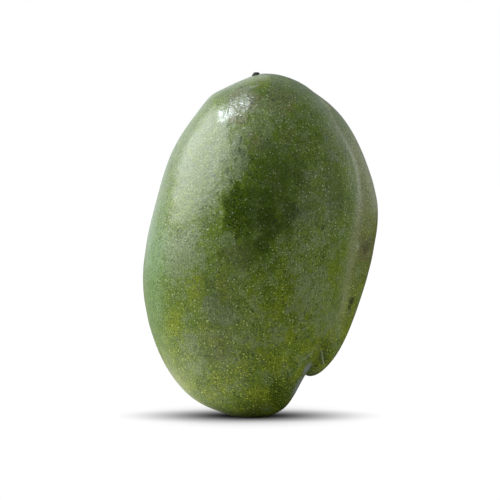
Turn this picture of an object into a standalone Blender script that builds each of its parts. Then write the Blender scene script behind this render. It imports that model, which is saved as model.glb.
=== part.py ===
"""A large green mango that stands on a small flat spot at its foot, with the stub of its stalk on top.

Metres, +Z up. The origin is on the floor, under the middle of the fruit. X runs across the fruit's broad
side, from its back on the left to the ridge and beak on the right, and Y through its thickness.
"""

import bmesh
import bpy
import numpy as np
from mathutils import Vector

MM = 0.001

# The fruit's broad side, in millimetres (across, up), clockwise from the stalk
BODY_OUTLINE = [
    (-1.2, 128.85), (2.8, 129.4), (8.9, 128.4), (17.0, 124.6), (29.3, 111.6), (35.6, 100.9),
    (38.9, 89.8), (40.1, 77.1), (38.3, 64.4), (31.9, 42.3), (23.7, 24.0), (16.6, 14.9),
    (13.5, 9.2), (10.6, 4.6), (6.3, 1.0), (1.5, -0.7), (-7.0, -0.9), (-16.3, 1.9),
    (-24.9, 6.2), (-31.5, 12.6), (-37.0, 21.4), (-41.4, 32.8), (-44.3, 46.9), (-43.5, 62.8),
    (-37.4, 88.1), (-32.7, 101.0), (-26.75, 110.7), (-21.9, 117.1), (-18.0, 121.3), (-14.6, 123.2),
    (-6.8, 126.9),
]
# The ridge down the right side and its beak, which the body swallows past the beak's nose
RIDGE_OUTLINE = [
    (8.0, 122.0), (17.2, 123.6), (21.4, 121.4), (28.0, 116.0), (33.3, 109.4), (37.9, 100.9),
    (41.4, 91.6), (44.1, 81.8), (44.4, 73.0), (42.9, 63.5), (40.5, 53.0), (37.5, 43.2),
    (33.3, 32.0), (28.9, 23.4), (24.6, 18.1), (21.7, 15.85), (19.4, 15.1), (17.1, 15.5),
    (13.9, 18.5), (8.0, 28.0), (-6.0, 45.0), (-24.0, 60.0), (-28.0, 85.0), (-12.0, 105.0),
]
# Both outlines are measured from this point inside the fruit, as across, through and up
CORE = np.array([-1.6, 0.0, 77.2])
# Away from its outline the body is this oval, which leans to the right
OVAL_CENTRE = np.array([-2.6, 0.0, 64.2])
OVAL_HALF_SIZES = np.array([40.5, 37.0, 65.5])
OVAL_LEAN = np.radians(8.2)
# The outline shapes the skin up to the first slant from its plane, and not past the second
OUTLINE_HOLDS, OUTLINE_LETS_GO = 0.1, 0.85
# The ridge is a slimmer lens than the body, and slimmest at the beak
RIDGE_HALF_THICKNESS, BEAK_HALF_THICKNESS = 24.0, 19.0
# The valley beside the ridge is rounded out by this share of the ridge's height, less at the beak
VALLEY, VALLEY_AT_BEAK = 0.35, 0.3
VALLEY_HOLDS, VALLEY_LETS_GO = 0.3, 0.7
SLIMS_FROM, SLIMS_TO = np.radians(85.0), np.radians(150.0)
# The beak's nose is round from front to back: its end draws back by this angle at full slant
NOSE_ROUNDING = np.radians(230.0)
NOSE_FROM, NOSE_TO = np.radians(128.0), np.radians(156.0)

# The stalk's stub stands in a socket in a low collar of skin. Its profile is radius and height, going up
STALK_ACROSS = -1.5
COLLAR_HEIGHT, COLLAR_RADIUS = 0.5, 2.6
SOCKET_RADIUS, SOCKET_FLOOR, SOCKET_MOUTH = 2.3, 125.6, 132.0
STUB_PROFILE = [(2.0, 125.9), (2.0, 128.5), (1.55, 129.1), (1.25, 129.65), (0.95, 129.85)]
STUB_SIDES = 16

# Grid squares along each side of the cube that the fruit's mesh starts from, and where they are halved
GRID = 22
FINE_AROUND = [((18.0, 0.0, 17.0), 15.0), ((STALK_ACROSS, 0.0, 129.0), 9.0)]
SAME_POINT = 0.01 * MM

SKIN_COLOUR, SKIN_ROUGHNESS = (0.105, 0.145, 0.035), 0.38
STALK_COLOUR, STALK_ROUGHNESS = (0.030, 0.022, 0.014), 0.8


def closed_curve(outline):
    """The distance from the core to a smooth closed outline, as a function of the angle from the top."""
    across, up = np.array(outline).T
    angle = np.arctan2(across - CORE[0], up - CORE[2]) % (2 * np.pi)
    order = np.argsort(angle)
    angle = angle[order]
    reach = np.hypot(across - CORE[0], up - CORE[2])[order]
    count = len(angle)
    step = np.diff(np.append(angle, angle[0] + 2 * np.pi))
    slope = (np.roll(reach, -1) - reach) / step
    system = np.zeros((count, count))
    for i in range(count):
        system[i, i - 1] += step[i - 1] / 6
        system[i, i] += (step[i - 1] + step[i]) / 3
        system[i, (i + 1) % count] += step[i] / 6
    bend = np.linalg.solve(system, slope - np.roll(slope, 1))

    def reach_at(theta):
        theta = (theta - angle[0]) % (2 * np.pi) + angle[0]
        i = np.clip(np.searchsorted(angle, theta, side="right") - 1, 0, count - 1)
        j = (i + 1) % count
        p = (theta - angle[i]) / step[i]
        q = 1 - p
        cubic = (q**3 - q) * bend[i] + (p**3 - p) * bend[j]
        return q * reach[i] + p * reach[j] + cubic * step[i] ** 2 / 6

    return reach_at


def smooth_step(value, start, end):
    t = np.clip((value - start) / (end - start), 0.0, 1.0)
    return t * t * (3 - 2 * t)


def in_oval(vectors):
    """Vectors in the leaning oval's own frame, where the oval is a ball of radius 1."""
    across = vectors[..., 0] * np.cos(OVAL_LEAN) - vectors[..., 2] * np.sin(OVAL_LEAN)
    along = vectors[..., 0] * np.sin(OVAL_LEAN) + vectors[..., 2] * np.cos(OVAL_LEAN)
    return np.stack([across, vectors[..., 1], along], axis=-1) / OVAL_HALF_SIZES


def oval_reach(directions):
    """The distance from the core to the leaning oval."""
    start = in_oval(CORE - OVAL_CENTRE)
    way = in_oval(directions)
    square, cross = (way * way).sum(axis=1), way @ start
    return (np.sqrt(cross**2 - square * (start @ start - 1)) - cross) / square


def ridge_lens(reach, side, slant, half_thickness):
    return 1 / np.sqrt((side / reach) ** 2 + (slant / half_thickness) ** 2)


body_reach = closed_curve(BODY_OUTLINE)
ridge_reach = closed_curve(RIDGE_OUTLINE)


def skin(directions):
    """The fruit's skin along unit directions from its core, in millimetres."""
    side = np.hypot(directions[:, 0], directions[:, 2])
    slant = directions[:, 1]
    theta = np.arctan2(directions[:, 0], directions[:, 2]) % (2 * np.pi)
    in_plane = np.stack([np.sin(theta), np.zeros_like(theta), np.cos(theta)], axis=1)
    holds = smooth_step(np.abs(slant), OUTLINE_LETS_GO, OUTLINE_HOLDS)
    body = oval_reach(directions) + (body_reach(theta) - oval_reach(in_plane)) * holds
    slim = smooth_step(theta, SLIMS_FROM, SLIMS_TO)
    half_thickness = RIDGE_HALF_THICKNESS + (BEAK_HALF_THICKNESS - RIDGE_HALF_THICKNESS) * slim
    valley = VALLEY + (VALLEY_AT_BEAK - VALLEY) * slim
    along = theta + NOSE_ROUNDING * smooth_step(theta, NOSE_FROM, NOSE_TO) * slant**2
    proud = np.maximum(ridge_reach(along) - body_reach(along), 0.0)
    ridge = ridge_lens(ridge_reach(along) - valley**2 * proud / 4, side, slant, half_thickness)
    soft = valley * proud * smooth_step(np.abs(slant), VALLEY_LETS_GO, VALLEY_HOLDS)
    out = (body + ridge + np.hypot(body - ridge, soft)) / 2
    points = CORE + directions * out[:, None]
    from_stalk = np.hypot(points[:, 0] - STALK_ACROSS, points[:, 1])
    top = points[:, 2] > CORE[2]
    points[top, 2] += COLLAR_HEIGHT * np.exp(-((from_stalk[top] / COLLAR_RADIUS) ** 2))
    return points


def directions_of(mesh):
    co = np.array([vert.co[:] for vert in mesh.verts])
    return co / np.linalg.norm(co, axis=1)[:, None]


def finish(mesh, name, material=None):
    data = bpy.data.meshes.new(name)
    mesh.to_mesh(data)
    mesh.free()
    data.shade_smooth()
    if material:
        data.materials.append(material)
    made = bpy.data.objects.new(name, data)
    bpy.context.scene.collection.objects.link(made)
    return made


def material_of(name, colour, roughness):
    material = bpy.data.materials.new(name)
    material.use_nodes = True
    shader = material.node_tree.nodes["Principled BSDF"]
    shader.inputs["Base Color"].default_value = (*colour, 1.0)
    shader.inputs["Roughness"].default_value = roughness
    shader.inputs["Metallic"].default_value = 0.0
    return material


def make_fruit():
    """A cube's grid blown up to the skin, finer at the beak and the stalk, and cut flat at the foot."""
    mesh = bmesh.new()
    bmesh.ops.create_cube(mesh, size=2.0)
    bmesh.ops.subdivide_edges(mesh, edges=mesh.edges[:], cuts=GRID - 1, use_grid_fill=True)
    for vert in mesh.verts:
        vert.co = [np.tan(value * np.pi / 4) for value in vert.co]
    points = skin(directions_of(mesh))
    for centre, radius in FINE_AROUND:
        near = np.linalg.norm(points - np.array(centre), axis=1) < radius
        fine = [edge for edge in mesh.edges if all(near[vert.index] for vert in edge.verts)]
        bmesh.ops.subdivide_edges(mesh, edges=fine, cuts=1, use_grid_fill=True)
        mesh.verts.index_update()
        points = skin(directions_of(mesh))
    for vert, point in zip(mesh.verts, points):
        vert.co = point * MM
    bmesh.ops.triangulate(mesh, faces=mesh.faces[:], quad_method="BEAUTY")
    everything = mesh.verts[:] + mesh.edges[:] + mesh.faces[:]
    cut = bmesh.ops.bisect_plane(
        mesh, geom=everything, dist=SAME_POINT, plane_co=(0, 0, 0), plane_no=(0, 0, 1), clear_inner=True
    )
    rim = [item for item in cut["geom_cut"] if isinstance(item, bmesh.types.BMEdge)]
    bmesh.ops.contextual_create(mesh, geom=rim)
    bmesh.ops.recalc_face_normals(mesh, faces=mesh.faces[:])
    return finish(mesh, "fruit", material_of("green_skin", SKIN_COLOUR, SKIN_ROUGHNESS))


def turned(profile):
    """A closed solid turned about the stalk's axis from a profile of (radius, height), going up."""
    mesh = bmesh.new()
    axis = Vector((STALK_ACROSS, 0.0, 0.0)) * MM
    rail = [mesh.verts.new(axis + Vector((radius, 0.0, height)) * MM) for radius, height in profile]
    edges = [mesh.edges.new(pair) for pair in zip(rail, rail[1:])]
    bmesh.ops.spin(
        mesh, geom=rail + edges, cent=axis, axis=(0, 0, 1), angle=2 * np.pi, steps=STUB_SIDES, use_merge=True
    )
    bmesh.ops.holes_fill(mesh, edges=mesh.edges[:], sides=0)
    bmesh.ops.recalc_face_normals(mesh, faces=mesh.faces[:])
    return mesh


def cut_socket(fruit):
    """The pit in the skin that the stalk's stub sits in, with a hair's gap all round."""
    cutter = finish(turned([(SOCKET_RADIUS, SOCKET_FLOOR), (SOCKET_RADIUS, SOCKET_MOUTH)]), "socket_cutter")
    cutter.hide_render = True
    cutter.display_type = "WIRE"
    cut = fruit.modifiers.new("socket", "BOOLEAN")
    cut.operation = "DIFFERENCE"
    cut.solver = "EXACT"
    cut.object = cutter


def make_stem_stub():
    """What is left of the stalk: a woody plug that flares where it meets the skin."""
    woody = material_of("woody_stalk", STALK_COLOUR, STALK_ROUGHNESS)
    return finish(turned(STUB_PROFILE), "stem_stub", woody)


for old in list(bpy.data.objects):
    bpy.data.objects.remove(old)
cut_socket(make_fruit())
make_stem_stub()
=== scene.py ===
"""Looks of a large green mango that stands on a small flat spot at its foot.

Metres, +Z up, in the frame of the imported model: the origin is on the floor, under the middle of the fruit.
X runs across the fruit's broad side, from its back on the left to the ridge and beak on the right.
"""

import bmesh
import bpy
import numpy as np
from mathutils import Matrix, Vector, noise


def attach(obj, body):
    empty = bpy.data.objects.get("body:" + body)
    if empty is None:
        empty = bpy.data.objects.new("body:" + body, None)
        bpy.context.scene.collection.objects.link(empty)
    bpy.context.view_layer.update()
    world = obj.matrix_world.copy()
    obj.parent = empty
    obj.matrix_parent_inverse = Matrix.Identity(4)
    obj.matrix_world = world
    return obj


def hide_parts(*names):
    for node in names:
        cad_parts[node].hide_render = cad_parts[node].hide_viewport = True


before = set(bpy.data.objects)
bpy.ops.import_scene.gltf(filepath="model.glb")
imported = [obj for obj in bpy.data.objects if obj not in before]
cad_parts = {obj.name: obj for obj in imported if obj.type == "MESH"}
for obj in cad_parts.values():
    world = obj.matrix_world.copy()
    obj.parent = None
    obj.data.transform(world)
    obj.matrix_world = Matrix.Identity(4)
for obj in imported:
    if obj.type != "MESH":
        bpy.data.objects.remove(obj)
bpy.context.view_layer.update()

# The fruit: one smooth green body that grew in one piece. A slimmer ridge runs down its right side and ends
# in a small beak over a notch. Its foot is cut flat, where it stands.

MM = 0.001
BODY_OUTLINE = [
    (-1.2, 128.85), (2.8, 129.4), (8.9, 128.4), (17.0, 124.6), (29.3, 111.6), (35.6, 100.9),
    (38.9, 89.8), (40.1, 77.1), (38.3, 64.4), (31.9, 42.3), (23.7, 24.0), (16.6, 14.9),
    (13.5, 9.2), (10.6, 4.6), (6.3, 1.0), (1.5, -0.7), (-7.0, -0.9), (-16.3, 1.9),
    (-24.9, 6.2), (-31.5, 12.6), (-37.0, 21.4), (-41.4, 32.8), (-44.3, 46.9), (-43.5, 62.8),
    (-37.4, 88.1), (-32.7, 101.0), (-26.75, 110.7), (-21.9, 117.1), (-18.0, 121.3), (-14.6, 123.2),
    (-6.8, 126.9),
]
RIDGE_OUTLINE = [
    (8.0, 122.0), (17.2, 123.6), (21.4, 121.4), (28.0, 116.0), (33.3, 109.4), (37.9, 100.9),
    (41.4, 91.6), (44.1, 81.8), (44.4, 73.0), (42.9, 63.5), (40.5, 53.0), (37.5, 43.2),
    (33.3, 32.0), (28.9, 23.4), (24.6, 18.1), (21.7, 15.85), (19.4, 15.1), (17.1, 15.5),
    (13.9, 18.5), (8.0, 28.0), (-6.0, 45.0), (-24.0, 60.0), (-28.0, 85.0), (-12.0, 105.0),
]
CORE = np.array([-1.6, 0.0, 77.2])
OVAL_CENTRE = np.array([-2.6, 0.0, 64.2])
OVAL_HALF_SIZES = np.array([40.5, 37.0, 65.5])
OVAL_LEAN = np.radians(8.2)
OUTLINE_HOLDS, OUTLINE_LETS_GO = 0.1, 0.85
RIDGE_HALF_THICKNESS, BEAK_HALF_THICKNESS = 24.0, 19.0
VALLEY, VALLEY_AT_BEAK = 0.35, 0.3
VALLEY_HOLDS, VALLEY_LETS_GO = 0.3, 0.7
SLIMS_FROM, SLIMS_TO = np.radians(85.0), np.radians(150.0)
NOSE_ROUNDING = np.radians(230.0)
NOSE_FROM, NOSE_TO = np.radians(128.0), np.radians(156.0)

STALK_ACROSS = -1.5
COLLAR_HEIGHT, COLLAR_RADIUS = 0.5, 2.6
PIT_DEPTH, PIT_INNER, PIT_OUTER = 2.6, 2.1, 2.45

GRID = 112
FINE_AROUND = [((18.0, 0.0, 17.0), 9.0), ((STALK_ACROSS, 0.0, 129.0), 4.5), ((STALK_ACROSS, 0.0, 129.0), 3.4)]
SAME_POINT = 0.01 * MM
# The skin's own unevenness, in millimetres: how deep it dips, and how far apart the dips are. It bulges by as
# much too, but not at the fruit's utmost points, whose reach from the middle of its box is given.
UNEVEN = [(0.22, 19.0), (0.09, 6.5), (0.035, 2.6)]
SKIN_INSET = 0.03
BOX_MIDDLE, BOX_HALF_SIZES = np.array([0.0, 0.0, 65.0]), np.array([44.4, 37.0, 65.0])


def closed_curve(outline):
    """The distance from the core to a smooth closed outline, as a function of the angle from the top."""
    across, up = np.array(outline).T
    angle = np.arctan2(across - CORE[0], up - CORE[2]) % (2 * np.pi)
    order = np.argsort(angle)
    angle = angle[order]
    reach = np.hypot(across - CORE[0], up - CORE[2])[order]
    count = len(angle)
    step = np.diff(np.append(angle, angle[0] + 2 * np.pi))
    slope = (np.roll(reach, -1) - reach) / step
    system = np.zeros((count, count))
    for i in range(count):
        system[i, i - 1] += step[i - 1] / 6
        system[i, i] += (step[i - 1] + step[i]) / 3
        system[i, (i + 1) % count] += step[i] / 6
    bend = np.linalg.solve(system, slope - np.roll(slope, 1))

    def reach_at(theta):
        theta = (theta - angle[0]) % (2 * np.pi) + angle[0]
        i = np.clip(np.searchsorted(angle, theta, side="right") - 1, 0, count - 1)
        j = (i + 1) % count
        p = (theta - angle[i]) / step[i]
        q = 1 - p
        cubic = (q**3 - q) * bend[i] + (p**3 - p) * bend[j]
        return q * reach[i] + p * reach[j] + cubic * step[i] ** 2 / 6

    return reach_at


def smooth_step(value, start, end):
    t = np.clip((value - start) / (end - start), 0.0, 1.0)
    return t * t * (3 - 2 * t)


def in_oval(vectors):
    """Vectors in the leaning oval's own frame, where the oval is a ball of radius 1."""
    across = vectors[..., 0] * np.cos(OVAL_LEAN) - vectors[..., 2] * np.sin(OVAL_LEAN)
    along = vectors[..., 0] * np.sin(OVAL_LEAN) + vectors[..., 2] * np.cos(OVAL_LEAN)
    return np.stack([across, vectors[..., 1], along], axis=-1) / OVAL_HALF_SIZES


def oval_reach(directions):
    start = in_oval(CORE - OVAL_CENTRE)
    way = in_oval(directions)
    square, cross = (way * way).sum(axis=1), way @ start
    return (np.sqrt(cross**2 - square * (start @ start - 1)) - cross) / square


def ridge_lens(reach, side, slant, half_thickness):
    return 1 / np.sqrt((side / reach) ** 2 + (slant / half_thickness) ** 2)


def uneven(points):
    """How far the skin dips at each point."""
    utmost = smooth_step(np.abs((points - BOX_MIDDLE) / BOX_HALF_SIZES).max(axis=1), 0.94, 0.985)
    dips = SKIN_INSET * utmost
    for depth, apart in UNEVEN:
        waves = np.array([noise.noise(Vector(point) / apart) for point in points])
        dips += depth * (0.5 * utmost + 0.5 * waves)
    return dips


body_reach = closed_curve(BODY_OUTLINE)
ridge_reach = closed_curve(RIDGE_OUTLINE)


def skin(directions):
    """Skin points along unit directions from the core, in millimetres, and how proud the ridge is there."""
    side = np.hypot(directions[:, 0], directions[:, 2])
    slant = directions[:, 1]
    theta = np.arctan2(directions[:, 0], directions[:, 2]) % (2 * np.pi)
    in_plane = np.stack([np.sin(theta), np.zeros_like(theta), np.cos(theta)], axis=1)
    holds = smooth_step(np.abs(slant), OUTLINE_LETS_GO, OUTLINE_HOLDS)
    body = oval_reach(directions) + (body_reach(theta) - oval_reach(in_plane)) * holds
    slim = smooth_step(theta, SLIMS_FROM, SLIMS_TO)
    half_thickness = RIDGE_HALF_THICKNESS + (BEAK_HALF_THICKNESS - RIDGE_HALF_THICKNESS) * slim
    valley = VALLEY + (VALLEY_AT_BEAK - VALLEY) * slim
    along = theta + NOSE_ROUNDING * smooth_step(theta, NOSE_FROM, NOSE_TO) * slant**2
    proud = np.maximum(ridge_reach(along) - body_reach(along), 0.0)
    ridge = ridge_lens(ridge_reach(along) - valley**2 * proud / 4, side, slant, half_thickness)
    soft = valley * proud * smooth_step(np.abs(slant), VALLEY_LETS_GO, VALLEY_HOLDS)
    out = (body + ridge + np.hypot(body - ridge, soft)) / 2
    points = CORE + directions * out[:, None]
    from_stalk = np.hypot(points[:, 0] - STALK_ACROSS, points[:, 1])
    top = points[:, 2] > CORE[2]
    points -= directions * uneven(points)[:, None]
    points[top, 2] += COLLAR_HEIGHT * np.exp(-((from_stalk[top] / COLLAR_RADIUS) ** 2))
    points[top, 2] -= PIT_DEPTH * smooth_step(from_stalk[top], PIT_OUTER, PIT_INNER)
    return points, np.where(proud > 0, ridge - body, -20.0)


def directions_of(mesh):
    co = np.array([vert.co[:] for vert in mesh.verts])
    return co / np.linalg.norm(co, axis=1)[:, None]


def placed(mesh, name, material, stands_for):
    """A finished piece, at the origin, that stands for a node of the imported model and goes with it."""
    data = bpy.data.meshes.new(name)
    mesh.to_mesh(data)
    mesh.free()
    data.shade_smooth()
    data.materials.append(material)
    made = bpy.data.objects.new(name, data)
    bpy.context.scene.collection.objects.link(made)
    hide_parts(stands_for)
    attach(made, "root")
    return made


# The skin's colours, from bare green to the grey wax that dusts it, with some that stand for painted light,
# shade and highlights
DARK_GREEN = (0.026, 0.048, 0.001)
DEEP_GREEN = (0.064, 0.108, 0.004)
LEAF_GREEN = (0.098, 0.158, 0.010)
OLIVE = (0.145, 0.195, 0.005)
WAX_AND_SHEEN_GREY = (0.150, 0.200, 0.078)
RIDGE_BROWN_AND_PAINTED_LIGHT = (0.175, 0.185, 0.055)
DULL_BROWN = (0.135, 0.135, 0.048)
EDGE_GREEN_AND_LIGHT = (0.125, 0.215, 0.070)
RIM_WAX_AND_REFLECTION_BLUE = (0.200, 0.225, 0.235)
CREASE_PAINTED_HIGHLIGHT = (0.250, 0.270, 0.150)
DOT_PALE = (0.430, 0.510, 0.270)
DOT_YELLOW = (0.400, 0.480, 0.070)
PALE_SCAR_AND_HIGHLIGHT = (0.330, 0.370, 0.290)
DARK_SCAR_AND_SHADE = (0.022, 0.022, 0.014)

# Broad markings on the front, seen straight on: across, up, half width, half height and strength, in
# millimetres. Rubbed patches have lost their wax, shaded ones are partly a darker green and partly painted
# shade, sunned ones have turned olive, browned ones are dull, waxed ones kept their grey dust and some are
# painted sheen and glints, and fresh ones are partly a fresher green and partly painted light on the lit
# left edge.
RUBBED = [
    (-8.8, 78.7, 4.6, 9.5, 1.0), (9.0, 9.0, 6.0, 8.0, 0.8), (24.0, 26.0, 3.0, 5.0, 0.4),
]
# Partly the skin's darker green, partly painted shade: in the middle of the front, near the foot and round
# the stalk
DARKER_SKIN_AND_PAINTED_SHADE = [
    (5.0, 93.0, 12.0, 13.0, 0.8), (1.0, 76.0, 9.5, 9.0, 1.0), (4.0, 122.0, 14.0, 7.0, 0.5),
    (14.0, 108.0, 14.0, 16.0, 0.4), (-4.0, 64.0, 9.0, 6.5, 0.65), (12.0, 8.0, 8.0, 9.0, 0.6),
    (-2.0, 106.0, 5.0, 9.0, 0.4), (-15.0, 46.0, 6.0, 12.0, 0.4), (13.0, 81.0, 8.0, 7.0, 0.5),
    (27.0, 88.0, 4.0, 12.0, 0.35), (2.0, 84.0, 10.0, 6.0, 0.9), (10.0, 78.0, 5.5, 6.0, 0.9),
    (-15.5, 28.0, 5.0, 5.0, 0.4), (-4.5, 79.0, 5.0, 5.5, 1.0), (0.0, 67.0, 4.0, 4.0, 0.95),
    (0.5, 5.5, 6.0, 3.5, 0.5), (-20.5, 29.0, 4.0, 4.0, 0.35), (30.5, 100.0, 3.0, 4.0, 0.3),
]
SUNNED = [
    (-1.0, 10.0, 5.0, 4.5, 1.0), (-0.5, 126.0, 5.5, 3.0, 0.9), (-24.0, 50.0, 4.0, 6.0, 0.6),
    (-32.5, 37.0, 4.0, 6.0, 0.8), (-16.0, 30.0, 6.0, 4.0, 0.5), (-14.0, 52.0, 3.0, 7.0, 0.6),
    (4.0, 22.0, 7.0, 4.0, 0.4), (-28.0, 80.0, 7.0, 9.0, 0.45),
]
BROWNED = [
    (-5.0, 119.5, 8.0, 5.0, 0.8), (-8.0, 114.0, 4.0, 6.0, 0.7), (6.0, 118.0, 9.0, 6.0, 0.6),
    (-2.0, 104.0, 4.0, 6.0, 0.5), (12.0, 104.0, 7.0, 6.0, 0.4),
    (-9.0, 64.0, 5.0, 6.0, 0.4), (40.0, 64.0, 4.0, 6.0, 0.8),
]
# Mostly grey wax dust. Some marks are painted light: sheen along the edge of the broad shine, small bluish
# glints beside it, and lighter patches low on the left and the right.
WAX_AND_PAINTED_SHEEN = [
    (29.0, 108.0, 6.0, 12.0, 0.7), (7.0, 125.0, 5.0, 3.0, 0.6), (-29.0, 104.0, 10.0, 14.0, 0.5),
    (3.0, 113.0, 8.0, 8.0, 0.5), (-8.0, 99.0, 3.5, 9.0, 0.9), (-6.0, 101.5, 1.2, 2.2, 0.9),
    (-9.6, 96.5, 1.5, 1.6, 0.9),
    (-11.8, 40.0, 3.5, 4.0, 0.9), (-25.5, 29.0, 5.0, 5.0, 0.7), (-25.5, 20.0, 4.5, 3.5, 0.6),
    (-10.0, 24.0, 4.0, 4.0, 0.4), (-18.0, 43.0, 4.0, 5.0, 0.7), (18.0, 46.0, 9.0, 13.0, 0.65),
    (25.0, 40.0, 4.0, 10.0, 0.6), (6.0, 34.0, 5.0, 6.0, 0.5), (16.0, 62.0, 7.0, 6.0, 0.4),
    (-30.0, 62.0, 9.0, 11.0, 0.8),
]
# A fresher green down the left edge, partly the skin's own tone and partly painted light on the side that
# faces the lamp
LEFT_EDGE_GREEN_AND_LIGHT = [(-41.0, 52.0, 6.0, 30.0, 1.0)]

# Each broad marking with its places and how soft its edges are. Its edges wobble by a share of its size, in
# waves that many millimetres apart, and it fades out towards the back.
MARKINGS = [
    ("rubbed", RUBBED, 0.8), ("darker_skin_and_painted_shade", DARKER_SKIN_AND_PAINTED_SHADE, 2.0), ("browned", BROWNED, 1.0),
    ("wax_and_painted_sheen", WAX_AND_PAINTED_SHEEN, 1.2), ("left_edge_green_and_light", LEFT_EDGE_GREEN_AND_LIGHT, 2.0),
]
EDGE_WOBBLE, EDGE_WOBBLE_APART = 0.5, 4.0
FRONT_ENDS_AT, FRONT_FULL_AT = 6.0, -6.0

# The crease where the body meets the ridge, seen from the front: across and up. At the back, the ridge's
# brown and painted light and the crease's painted highlight are fainter.
CREASE_LINE = [
    (28.9, 34.5), (31.2, 44.0), (32.7, 55.3), (34.6, 66.6), (36.0, 76.0), (36.6, 80.0), (36.7, 87.4),
    (36.1, 92.3), (35.0, 96.8), (32.7, 101.7), (28.6, 109.2), (25.2, 116.4), (21.8, 120.6),
]
BACK_RIDGE, BACK_CREASE = 0.5, 0.3

# Where the skin is ripest: from the foot up to these heights, which fall off to the left
RIPE_TO, RIPE_FROM, RIPE_LEAN = 75.0, 15.0, 0.3

# Small scars and specks on the front, seen straight on: across, up, half length and half width in
# millimetres, lean in degrees, and strength. The fine creases at the beak's end are drawn with painted
# shade in the dark list and a painted highlight in the pale list, and three tiny pale specks on the
# rubbed patch are painted glints.
DARK_SCARS_AND_CREASE_SHADE = [
    (5.5, 75.3, 1.2, 0.25, 42, 0.9), (22.7, 72.3, 1.2, 0.3, 63, 0.8), (-17.1, 91.5, 0.5, 0.4, 0, 0.9),
    (-4.6, 32.3, 0.45, 0.4, 0, 0.8), (13.1, 31.7, 1.0, 0.3, 80, 0.8), (12.9, 22.3, 0.5, 0.4, 0, 0.8),
    (34.2, 44.0, 1.5, 0.8, 70, 0.8), (33.4, 41.6, 1.1, 0.6, 110, 0.8), (-19.0, 25.1, 1.9, 0.35, 5, 0.6),
    (-3.3, 118.3, 0.5, 0.4, 0, 0.7), (-4.6, 120.8, 0.4, 0.4, 0, 0.7), (2.9, 122.1, 0.5, 0.4, 20, 0.7),
    (4.6, 119.1, 0.6, 0.4, 0, 0.7), (20.9, 19.6, 0.5, 0.5, 0, 0.9), (39.4, 64.3, 2.4, 1.5, 75, 0.4),
    # Painted shade in two fine creases at the beak's end
    (22.4, 22.6, 2.6, 0.5, 100, 0.35), (24.3, 22.6, 2.4, 0.4, 100, 0.35),
]
PALE_SCARS_AND_PAINTED_LIGHT = [
    # The first is a painted highlight between the beak's fine creases
    (23.3, 22.7, 2.8, 0.3, 100, 0.5), (17.7, 24.1, 2.0, 0.2, 35, 0.5), (-2.5, 124.3, 2.0, 0.4, 20, 0.3),
    (36.2, 64.9, 1.4, 0.5, 100, 0.6),
    # Painted glints: three tiny pale specks on the rubbed patch
    (-11.2, 76.8, 0.2, 0.2, 0, 0.6), (-10.3, 78.1, 0.2, 0.2, 0, 0.6), (-2.4, 79.1, 0.2, 0.2, 0, 0.5),
]
GREEN_SCARS = [
    (-7.3, 104.5, 1.6, 0.45, 80, 0.9), (-7.7, 101.0, 1.3, 0.4, 95, 0.9), (-5.9, 99.4, 0.9, 0.35, 60, 0.8),
    (-9.2, 97.3, 1.0, 0.4, 70, 0.7), (-12.4, 93.5, 1.2, 0.4, 50, 0.6), (-10.6, 89.4, 1.1, 0.5, 75, 0.7),
]
# The notch's bluish rim: partly wax, partly a painted reflection of the floor
RIM_WAX_AND_PAINTED_REFLECTION = [(17.6, 18.8, 2.4, 1.0, 58, 0.9), (14.4, 12.4, 4.4, 1.0, 62, 0.8)]
SCAR_RAGGED, SCARS_FADE_AT, SCARS_FULL_AT = 0.9, 0.0, -3.0
# From front to back a scar is so long that only its place across and up counts
SCAR_DEPTH = 1e6

# Pores and pits: how far apart they are, in millimetres, and their smallest and largest radius as shares of
# that. The dark rim round a large pore is wider than the pore.
LARGE_PORES, SMALL_PORES, PITS = (1.20, 0.12, 0.36), (0.78, 0.14, 0.40), (1.37, 0.14, 0.42)
PORE_RIM = 1.9


def marking(points, marks, softness=1.0):
    """How strongly a list of broad markings shows at each point, from 0 to 1, with ragged edges."""
    ragged = np.array([noise.fractal(Vector(point) / EDGE_WOBBLE_APART, 0.8, 2.0, 4) for point in points])
    shown = np.zeros(len(points))
    for across, up, half_width, half_height, strength in marks:
        away = np.hypot((points[:, 0] - across) / half_width, (points[:, 2] - up) / half_height)
        away += EDGE_WOBBLE * ragged
        shown = np.maximum(shown, strength * smooth_step(away, 0.95 + 0.4 * softness, 0.95 - 0.4 * softness))
    return shown * smooth_step(points[:, 1], FRONT_ENDS_AT, FRONT_FULL_AT)


def paint(made, name, values):
    made.data.attributes.new(name, "FLOAT", "POINT").data.foreach_set("value", values.astype(np.float32))


def new_material(name):
    material = bpy.data.materials.new(name)
    material.use_nodes = True
    return material, material.node_tree.nodes["Principled BSDF"]


def node(material, kind, inputs, output=0, **settings):
    """Adds one node to a material and gives back one of its outputs. An input is a value or an output."""
    made = material.node_tree.nodes.new("ShaderNode" + kind)
    for key, value in settings.items():
        setattr(made, key, value)
    for key, value in inputs.items():
        if isinstance(value, bpy.types.NodeSocket):
            material.node_tree.links.new(value, made.inputs[key])
        else:
            made.inputs[key].default_value = value
    return made.outputs[output]


def cloud(material, place, apart, detail=3.0, roughness=0.55):
    """Cloudy noise, 0 to 1, with lumps that far apart."""
    inputs = {"Vector": place, "Scale": 1 / apart, "Detail": detail, "Roughness": roughness}
    return node(material, "TexNoise", inputs)


def ramp(material, value, low, high, to_low=0.0, to_high=1.0):
    """Spreads a value between two limits, smoothly."""
    inputs = {"Value": value, "From Min": low, "From Max": high, "To Min": to_low, "To Max": to_high}
    return node(material, "MapRange", inputs, "Result", interpolation_type="SMOOTHSTEP")


def maths(material, operation, first, second):
    """Two values put together by one of the shader's sums."""
    return node(material, "Math", {0: first, 1: second}, operation=operation)


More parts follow.
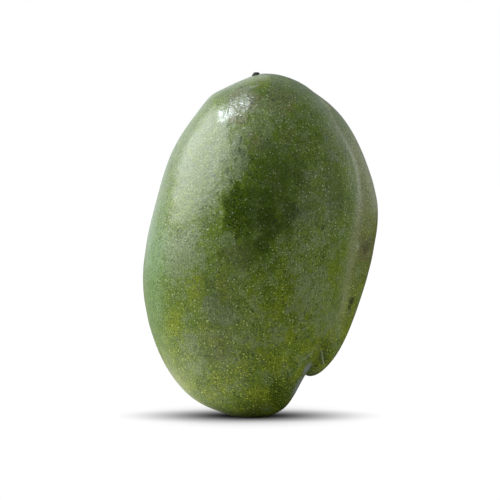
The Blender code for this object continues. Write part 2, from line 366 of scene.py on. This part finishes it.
def mixed(material, share, first, second):
    """Two colours mixed."""
    inputs = {0: share, 6: (*first, 1.0) if isinstance(first, tuple) else first}
    inputs[7] = (*second, 1.0) if isinstance(second, tuple) else second
    return node(material, "Mix", inputs, 2, data_type="RGBA")


def dots(material, place, sizes, wider=1.0):
    """Round dots at random places, 0 to 1, as wide as they are or wider."""
    apart, smallest, largest = sizes
    cells = material.node_tree.nodes.new("ShaderNodeTexVoronoi")
    cells.inputs["Scale"].default_value = 1 / (apart * MM)
    material.node_tree.links.new(place, cells.inputs["Vector"])
    own = node(material, "SeparateColor", {0: cells.outputs["Color"]})
    size = ramp(material, own, 0.0, 1.0, wider * smallest, wider * largest)
    inner = maths(material, "MULTIPLY", size, 0.45)
    away = cells.outputs["Distance"]
    inputs = {"Value": away, "From Min": size, "From Max": inner, "To Min": 0.0, "To Max": 1.0}
    return node(material, "MapRange", inputs, "Result", interpolation_type="SMOOTHSTEP")


def scars(material, place, listed):
    """Small marks that lie on the fruit's front, 0 to 1, with ragged edges."""
    ragged = ramp(material, cloud(material, place, 0.6 * MM), 0.3, 0.7, -SCAR_RAGGED / 2, SCAR_RAGGED / 2)
    shown = 0.0
    for across, up, half_length, half_width, lean, strength in listed:
        inputs = {"Vector": place, "Location": (across * MM, 0.0, up * MM)}
        inputs["Rotation"] = (0.0, -np.radians(lean), 0.0)
        inputs["Scale"] = (half_length * MM, SCAR_DEPTH, half_width * MM)
        own = node(material, "Mapping", inputs, vector_type="TEXTURE")
        away = maths(material, "ADD", node(material, "VectorMath", {0: own}, 1, operation="LENGTH"), ragged)
        shown = maths(material, "MAXIMUM", shown, ramp(material, away, 1.4, 0.6, 0.0, strength))
    depth = node(material, "SeparateXYZ", {0: place}, "Y")
    return maths(material, "MULTIPLY", shown, ramp(material, depth, SCARS_FADE_AT * MM, SCARS_FULL_AT * MM))


def skin_material():
    material, shader = new_material("green_skin")
    link = material.node_tree.links.new
    place = node(material, "TexCoord", {}, "Object")
    painted = {
        name: node(material, "Attribute", {}, "Fac", attribute_name=name)
        for name in ("rubbed", "darker_skin_and_painted_shade", "sunned", "wax_and_painted_sheen", "browned", "left_edge_green_and_light", "ridge", "crease", "ripe")
    }

    # Most broad markings break up into fine mottles
    for name, apart in (("sunned", 1.9), ("browned", 2.3), ("wax_and_painted_sheen", 3.1)):
        mottle = ramp(material, cloud(material, place, apart * MM, 6.0, 0.75), 0.25, 0.75, -0.45, 0.45)
        painted[name] = ramp(material, maths(material, "ADD", painted[name], mottle), 0.2, 0.8)

    # Bare skin: deep to leaf green, olive in clouds, and brownish along the ridge, partly its own brown and
    # partly painted light
    tone = ramp(material, cloud(material, place, 4.0 * MM, 6.0, 0.75), 0.36, 0.60)
    colour = mixed(material, tone, DEEP_GREEN, LEAF_GREEN)
    yellow = ramp(material, cloud(material, place, 6.0 * MM, 6.0, 0.7), 0.42, 0.60)
    yellow = maths(material, "MULTIPLY", yellow, ramp(material, painted["ripe"], 0.0, 1.0, 0.3, 1.0))
    colour = mixed(material, maths(material, "MAXIMUM", yellow, painted["sunned"]), colour, OLIVE)
    colour = mixed(material, maths(material, "MULTIPLY", painted["ridge"], 0.8), colour, RIDGE_BROWN_AND_PAINTED_LIGHT)
    colour = mixed(material, painted["browned"], colour, DULL_BROWN)

    # Wax: a grey haze in soft patches, thin on the rubbed places. The waxed marks also paint sheen and glints
    # in places.
    patches = ramp(material, cloud(material, place, 5.0 * MM, 6.0, 0.7), 0.45, 0.68, 0.0, 0.9)
    wax_and_sheen = maths(material, "MAXIMUM", patches, painted["wax_and_painted_sheen"])
    bare = maths(material, "MAXIMUM", painted["rubbed"], painted["sunned"])
    wax_and_sheen = maths(material, "MULTIPLY", wax_and_sheen, ramp(material, bare, 0.0, 1.0, 1.0, 0.05))
    colour = mixed(material, wax_and_sheen, colour, WAX_AND_SHEEN_GREY)
    # The fresher green of the left edge, partly painted light
    colour = mixed(material, maths(material, "MULTIPLY", painted["left_edge_green_and_light"], 0.8), colour, EDGE_GREEN_AND_LIGHT)
    # A painted highlight along the crease
    colour = mixed(material, maths(material, "MULTIPLY", painted["crease"], 0.9), colour, CREASE_PAINTED_HIGHLIGHT)
    # Darker skin with its painted shade, and the rubbed patches, turn the colour towards dark green
    dark = maths(material, "MAXIMUM", painted["darker_skin_and_painted_shade"], maths(material, "MULTIPLY", painted["rubbed"], 0.85))
    colour = mixed(material, dark, colour, DARK_GREEN)

    # Pale dots, the skin's pores, stronger towards the foot. Dark pits and a fine grain lie between.
    large = dots(material, place, LARGE_PORES)
    rims = dots(material, place, LARGE_PORES, PORE_RIM)
    small = dots(material, place, SMALL_PORES)
    pits = dots(material, place, PITS)
    grain = ramp(material, cloud(material, place, 0.55 * MM, 3.0, 0.7), 0.25, 0.75, -1.0, 1.0)
    shade = maths(material, "MULTIPLY", rims, -0.22)
    for pattern, amount in ((pits, -0.35), (grain, 0.6)):
        shade = maths(material, "ADD", shade, maths(material, "MULTIPLY", pattern, amount))
    shade = maths(material, "MAXIMUM", maths(material, "ADD", shade, 1.0), 0.15)
    colour = node(material, "VectorMath", {0: colour, 3: shade}, operation="SCALE")
    strength = ramp(material, painted["ripe"], 0.0, 1.0, 0.65, 1.0)
    strength = maths(material, "MULTIPLY", strength, ramp(material, dark, 0.0, 1.0, 1.0, 0.45))
    strength = maths(material, "MULTIPLY", strength, ramp(material, wax_and_sheen, 0.3, 1.0, 1.0, 0.5))
    shown = maths(material, "MAXIMUM", large, maths(material, "MULTIPLY", small, 0.6))
    pale = mixed(material, painted["ripe"], DOT_PALE, DOT_YELLOW)
    colour = mixed(material, maths(material, "MULTIPLY", shown, strength), colour, pale)

    # Scars and specks, and the bluish rim of the notch, partly wax and partly a painted reflection of the
    # floor
    colour = mixed(material, scars(material, place, GREEN_SCARS), colour, DARK_GREEN)
    colour = mixed(material, scars(material, place, RIM_WAX_AND_PAINTED_REFLECTION), colour, RIM_WAX_AND_REFLECTION_BLUE)
    # Pale scars with painted highlights and glints, then dark scars with painted shade in fine creases
    colour = mixed(material, scars(material, place, PALE_SCARS_AND_PAINTED_LIGHT), colour, PALE_SCAR_AND_HIGHLIGHT)
    colour = mixed(material, scars(material, place, DARK_SCARS_AND_CREASE_SHADE), colour, DARK_SCAR_AND_SHADE)

    link(colour, shader.inputs["Base Color"])

    # Waxed skin is duller, and rubbed skin shines
    rough = ramp(material, wax_and_sheen, 0.0, 0.8, 0.30, 0.42)
    rough = maths(material, "MULTIPLY", rough, ramp(material, painted["rubbed"], 0.0, 1.0, 1.0, 0.6))
    link(rough, shader.inputs["Roughness"])
    shader.inputs["Coat Weight"].default_value = 0.35
    shader.inputs["Coat Roughness"].default_value = 0.22

    # The skin's fine relief: an even peel, raised pores, small lumps and broader swells
    height = cloud(material, place, 1.1 * MM, 3.0, 0.6)
    lumps = cloud(material, place, 3.2 * MM, 3.0, 0.6)
    swells = cloud(material, place, 8.0 * MM, 2.0, 0.5)
    for pattern, amount in ((large, 0.4), (lumps, 2.0), (swells, 4.0)):
        height = maths(material, "ADD", height, maths(material, "MULTIPLY", pattern, amount))
    bump = node(material, "Bump", {"Height": height, "Strength": 0.9, "Distance": 0.08 * MM})
    link(bump, shader.inputs["Normal"])
    link(bump, shader.inputs["Coat Normal"])
    return material


def paint_fruit(made):
    """Paints onto the skin where each marking shows, for the material to read."""
    points = np.array([vert.co[:] for vert in made.data.vertices]) / MM
    for name, marks, softness in MARKINGS:
        paint(made, name, marking(points, marks, softness))
    _, proud = skin((points - CORE) / np.linalg.norm(points - CORE, axis=1)[:, None])
    up = points[:, 2]
    front = smooth_step(points[:, 1], FRONT_ENDS_AT, FRONT_FULL_AT)
    back = 1 - front
    line_across, line_up = np.array(CREASE_LINE).T
    slope = (np.interp(up + 1.0, line_up, line_across) - np.interp(up - 1.0, line_up, line_across)) / 2.0
    beside = (points[:, 0] - np.interp(up, line_up, line_across)) / np.hypot(1.0, slope)

    # The ridge is brownish and lighter, most of all at its upper half: partly its own brown, partly painted
    # light where it turns towards the light on the right
    on_ridge = front * smooth_step(beside, -0.8, 1.2) + BACK_RIDGE * back * smooth_step(proud, -2.0, 4.0)
    paint(made, "ridge", on_ridge * (0.3 + 0.7 * smooth_step(up, 40.0, 80.0)))

    # The crease carries a painted highlight: a pale line that gets wider and fainter on its way down
    low = smooth_step(up, 90.0, 70.0)
    wide = 0.55 + 1.5 * low
    on_line = front * np.exp(-((beside / wide) ** 2))
    on_line += BACK_CREASE * back * np.exp(-(((proud + 0.3) / wide) ** 2))
    ends = smooth_step(up, 24.0, 45.0) * smooth_step(up, 124.0, 118.0)
    paint(made, "crease", on_line * (1.0 - 0.4 * low) * ends)

    # An olive band runs beside the crease's upper half
    band = front * np.exp(-(((beside + 3.5) / 2.2) ** 2))
    band *= smooth_step(up, 84.0, 92.0) * smooth_step(up, 116.0, 108.0)
    paint(made, "sunned", np.maximum(marking(points, SUNNED), 0.5 * band))
    paint(made, "ripe", smooth_step(up - RIPE_LEAN * points[:, 0], RIPE_TO, RIPE_FROM))


def make_fruit():
    """A cube's grid blown up to the skin, finer at the beak and the stalk, and cut flat at the foot."""
    mesh = bmesh.new()
    bmesh.ops.create_cube(mesh, size=2.0)
    bmesh.ops.subdivide_edges(mesh, edges=mesh.edges[:], cuts=GRID - 1, use_grid_fill=True)
    for vert in mesh.verts:
        vert.co = [np.tan(value * np.pi / 4) for value in vert.co]
    for centre, radius in FINE_AROUND:
        points, _ = skin(directions_of(mesh))
        near = np.linalg.norm(points - np.array(centre), axis=1) < radius
        fine = [edge for edge in mesh.edges if all(near[vert.index] for vert in edge.verts)]
        bmesh.ops.subdivide_edges(mesh, edges=fine, cuts=1, use_grid_fill=True)
        mesh.verts.index_update()
    points, _ = skin(directions_of(mesh))
    for vert, point in zip(mesh.verts, points):
        vert.co = point * MM
    bmesh.ops.triangulate(mesh, faces=mesh.faces[:], quad_method="BEAUTY")
    everything = mesh.verts[:] + mesh.edges[:] + mesh.faces[:]
    cut = bmesh.ops.bisect_plane(
        mesh, geom=everything, dist=SAME_POINT, plane_co=(0, 0, 0), plane_no=(0, 0, 1), clear_inner=True
    )
    for vert in mesh.verts:
        vert.co.z = max(vert.co.z, 0.0)
    rim = [item for item in cut["geom_cut"] if isinstance(item, bmesh.types.BMEdge)]
    bmesh.ops.contextual_create(mesh, geom=rim)
    bmesh.ops.recalc_face_normals(mesh, faces=mesh.faces[:])
    made = placed(mesh, "mango_fruit", skin_material(), "fruit")
    paint_fruit(made)
    return made


make_fruit()

# The stub of the stalk: a dark, woody plug that was left when the fruit broke off. It stands in its socket in
# the skin and flares where it meets it.

STUB_PROFILE = [
    (1.9, 125.95), (1.95, 127.4), (1.9, 128.3), (1.7, 128.8), (1.4, 129.15), (1.2, 129.4), (1.05, 129.62),
    (0.8, 129.74), (0.5, 129.66), (0.2, 129.5),
]
STUB_SIDES = 40
STUB_GNARL, STUB_GNARL_APART = 0.16, 0.8
WOOD_DARK = (0.006, 0.006, 0.004)
WOOD_GREY = (0.020, 0.019, 0.013)


def wood_material():
    material, shader = new_material("woody_stalk")
    place = node(material, "TexCoord", {}, "Object")
    fibres = node(material, "Mapping", {"Vector": place, "Scale": (1.0, 1.0, 0.25)})
    grain = ramp(material, cloud(material, fibres, 0.35 * MM, 4.0, 0.65), 0.38, 0.66)
    material.node_tree.links.new(mixed(material, grain, WOOD_DARK, WOOD_GREY), shader.inputs["Base Color"])
    shader.inputs["Roughness"].default_value = 0.75
    bump = node(material, "Bump", {"Height": grain, "Strength": 0.8, "Distance": 0.08 * MM})
    material.node_tree.links.new(bump, shader.inputs["Normal"])
    return material


def make_stem_stub():
    mesh = bmesh.new()
    axis = Vector((STALK_ACROSS, 0.0, 0.0)) * MM
    rail = [mesh.verts.new(axis + Vector((radius, 0.0, height)) * MM) for radius, height in STUB_PROFILE]
    edges = [mesh.edges.new(pair) for pair in zip(rail, rail[1:])]
    bmesh.ops.spin(
        mesh, geom=rail + edges, cent=axis, axis=(0, 0, 1), angle=2 * np.pi, steps=STUB_SIDES, use_merge=True
    )
    bmesh.ops.holes_fill(mesh, edges=mesh.edges[:], sides=0)
    for vert in mesh.verts:
        point = vert.co / MM
        out = Vector((point.x - STALK_ACROSS, point.y, 0.0))
        vert.co -= out.normalized() * MM * STUB_GNARL * (0.5 + 0.5 * noise.noise(point / STUB_GNARL_APART))
    bmesh.ops.recalc_face_normals(mesh, faces=mesh.faces[:])
    return placed(mesh, "mango_stem_stub", wood_material(), "stem_stub")


make_stem_stub()

# The floor: a plain pale sheet that the fruit stands on. For the camera it glows evenly white, with a
# painted shadow round the fruit's foot. To the fruit it glows as painted bounce light from below, most on
# the left.

FLOOR_SIZE = 6.0
# The painted shadow darkens with what is within reach above the floor. Its darkest part, drawn round the
# foot, is wider than it is deep.
SHADOW_REACH, SHADOW_LIGHT = 0.055, 0.8
PAINTED_SHADOW_ACROSS, PAINTED_SHADOW_DEEP, PAINTED_SHADOW_FROM, PAINTED_SHADOW_TO = -0.0043, 0.60, 0.007, 0.055
SHADOW_DARKEST, FLOOR_BRIGHT = 0.01, 1.02
# How brightly the floor glows onto the fruit as painted bounce light, and shines in its skin, on the left
# and the right, and how far out
BOUNCE_LEFT, BOUNCE_RIGHT = 2.1, 0.5
SHEEN_LEFT, SHEEN_RIGHT = 0.5, 0.1
BOUNCE_TINT, WHITE = (1.0, 1.0, 0.86), (1.0, 1.0, 1.0)
LEFT_ENDS_AT, RIGHT_STARTS_AT = -0.05, 0.01
BOUNCE_DARK_TO, BOUNCE_LIGHT_FROM = 0.005, 0.03
BOUNCE_FADES_FROM, BOUNCE_FADES_TO, BOUNCE_FAR = 0.04, 0.12, 0.35


def floor_material():
    material, shader = new_material("pale_floor")
    tree = material.node_tree
    tree.nodes.remove(shader)
    shade = node(material, "AmbientOcclusion", {"Distance": SHADOW_REACH}, "AO", samples=16)
    place = node(material, "TexCoord", {}, "Object")
    # Painted shadow: an ellipse round the foot, darkest at its middle
    painted_shadow = {"Vector": place, "Location": (PAINTED_SHADOW_ACROSS, 0.0, 0.0), "Scale": (1.0, PAINTED_SHADOW_DEEP, 1.0)}
    painted_shadow = node(material, "Mapping", painted_shadow, vector_type="TEXTURE")
    painted_shadow = node(material, "VectorMath", {0: painted_shadow}, 1, operation="LENGTH")
    painted_shadow = ramp(material, painted_shadow, PAINTED_SHADOW_FROM, PAINTED_SHADOW_TO, SHADOW_DARKEST, 1.0)
    bright = maths(material, "MINIMUM", ramp(material, shade, 0.0, SHADOW_LIGHT), painted_shadow)
    bright = maths(material, "MULTIPLY", bright, FLOOR_BRIGHT)
    across = node(material, "SeparateXYZ", {0: place})
    away = node(material, "VectorMath", {0: place}, 1, operation="LENGTH")
    bounce = ramp(material, across, LEFT_ENDS_AT, RIGHT_STARTS_AT, BOUNCE_LEFT, BOUNCE_RIGHT)
    bounce = maths(material, "MULTIPLY", bounce, ramp(material, away, BOUNCE_DARK_TO, BOUNCE_LIGHT_FROM))
    far = ramp(material, away, BOUNCE_FADES_FROM, BOUNCE_FADES_TO, 1.0, BOUNCE_FAR)
    bounce = maths(material, "MULTIPLY", bounce, far)
    glossy = node(material, "LightPath", {}, "Is Glossy Ray")
    sheen = ramp(material, across, LEFT_ENDS_AT, RIGHT_STARTS_AT, SHEEN_LEFT, SHEEN_RIGHT)
    bounce = maths(material, "MULTIPLY", bounce, ramp(material, glossy, 0.0, 1.0, 1.0, sheen))
    seen = node(material, "LightPath", {}, "Is Camera Ray")
    strength = node(material, "Mix", {0: seen, 2: bounce, 3: bright}, data_type="FLOAT")
    tint = mixed(material, seen, BOUNCE_TINT, WHITE)
    glow = node(material, "Emission", {"Color": tint, "Strength": strength})
    tree.links.new(glow, tree.nodes["Material Output"].inputs["Surface"])
    return material


floor = bpy.data.objects.new("floor", bpy.data.meshes.new("floor"))
sweep = bmesh.new()
bmesh.ops.create_grid(sweep, x_segments=1, y_segments=1, size=FLOOR_SIZE / 2)
sweep.to_mesh(floor.data)
sweep.free()
floor.data.materials.append(floor_material())
bpy.context.scene.collection.objects.link(floor)

# The lamps: a large soft one high on the left, which makes the broad sheen, a small bright one above it for
# the spot near the stalk, and three weak ones that fill the shade without a shine of their own.

AIM = Vector((0.0, 0.0, 0.065))
SOFT_TINT, SMALL_TINT = (0.98, 1.0, 1.03), (0.93, 1.0, 1.12)


def lamp(name, towards, distance, radius, radiance, tint=WHITE, height=1.0):
    light = bpy.data.lights.new(name, "AREA")
    light.shape = "ELLIPSE"
    light.size, light.size_y = 2 * radius, 2 * radius * height
    light.energy = radiance * np.pi * np.pi * radius**2 * height
    light.color = tint
    made = bpy.data.objects.new(name, light)
    made.location = AIM + Vector(towards).normalized() * distance
    made.rotation_euler = (AIM - made.location).to_track_quat("-Z", "Y").to_euler()
    made.visible_camera = False
    bpy.context.scene.collection.objects.link(made)
    return made


lamp("soft_lamp", (-0.82, -0.08, 0.56), 0.9, radius=0.64, radiance=4.8, tint=SOFT_TINT, height=0.68)
lamp("small_lamp", (-0.51, 0.03, 0.86), 1.0, radius=0.055, radiance=106.0, tint=SMALL_TINT)
lamp("fill_lamp", (0.80, -0.60, 0.05), 1.0, radius=0.45, radiance=3.1).visible_glossy = False
lamp("side_lamp", (0.98, 0.10, 0.05), 1.0, radius=0.45, radiance=3.0).visible_glossy = False
lamp("low_lamp", (-0.98, -0.15, 0.0), 1.0, radius=0.45, radiance=0.5).visible_glossy = False

# The room: pale left and right walls behind the fruit, which its skin mirrors along its edges, a dark front
# on the camera's side, and a dim ceiling. The camera itself sees plain white.

ROOM_LEFT, ROOM_RIGHT, ROOM_FRONT, ROOM_ABOVE = 0.5, 0.6, 0.03, 0.14
ROOM_TINT = (0.95, 1.0, 1.12)


def make_room():
    world = bpy.data.worlds.new("studio")
    world.use_nodes = True
    way = node(world, "TexCoord", {}, "Generated")
    across, behind, high = (node(world, "SeparateXYZ", {0: way}, axis) for axis in "XYZ")

    # Each wall fills its half of the room, gets brighter towards the back, and is toned in places
    left = ramp(world, across, 0.1, -0.1, 0.0, ROOM_LEFT)
    left = maths(world, "MULTIPLY", left, ramp(world, behind, 0.0, 0.45))
    left = maths(world, "MULTIPLY", left, ramp(world, behind, 0.5, 0.75, 1.0, 1.7))
    left = maths(world, "MULTIPLY", left, ramp(world, high, 0.65, 0.95, 1.0, 0.2))
    right = ramp(world, across, -0.1, 0.1, 0.0, ROOM_RIGHT)
    right = maths(world, "MULTIPLY", right, ramp(world, behind, 0.08, 0.52))
    right = maths(world, "MULTIPLY", right, ramp(world, behind, 0.65, 1.0, 1.0, 0.4))
    right = maths(world, "MULTIPLY", right, ramp(world, high, 0.30, 0.60, 1.0, 0.5))
    above = ramp(world, high, 0.35, 0.95, ROOM_FRONT, ROOM_FRONT + ROOM_ABOVE)
    light = maths(world, "ADD", maths(world, "ADD", left, right), above)

    seen = node(world, "LightPath", {}, "Is Camera Ray")
    background = world.node_tree.nodes["Background"]
    world.node_tree.links.new(mixed(world, seen, ROOM_TINT, WHITE), background.inputs["Color"])
    world.node_tree.links.new(maths(world, "MAXIMUM", light, seen), background.inputs["Strength"])
    bpy.context.scene.world = world


make_room()

# The camera: straight on to the fruit's broad side, aimed at its middle from a little above. Its lens takes
# in a picture that is 500 points wide, at 2.65 points to the millimetre.

PICTURE_WIDTH, POINTS_PER_MM = 500, 2.65
SEEN_WIDTH = PICTURE_WIDTH / POINTS_PER_MM * MM
CAMERA_AIM = Vector((-0.0039, 0.0, 0.0628))
CAMERA_DISTANCE = 1.0
CAMERA_RISE = np.radians(3.0)

lens = bpy.data.cameras.new("camera")
lens.sensor_width = 36.0
lens.lens = lens.sensor_width * CAMERA_DISTANCE / SEEN_WIDTH
camera = bpy.data.objects.new("camera", lens)
camera.location = CAMERA_AIM + CAMERA_DISTANCE * Vector((0.0, -np.cos(CAMERA_RISE), np.sin(CAMERA_RISE)))
camera.rotation_euler = (CAMERA_AIM - camera.location).to_track_quat("-Z", "Y").to_euler()
bpy.context.scene.collection.objects.link(camera)
bpy.context.scene.camera = camera
bpy.context.scene.view_settings.view_transform = "Standard"
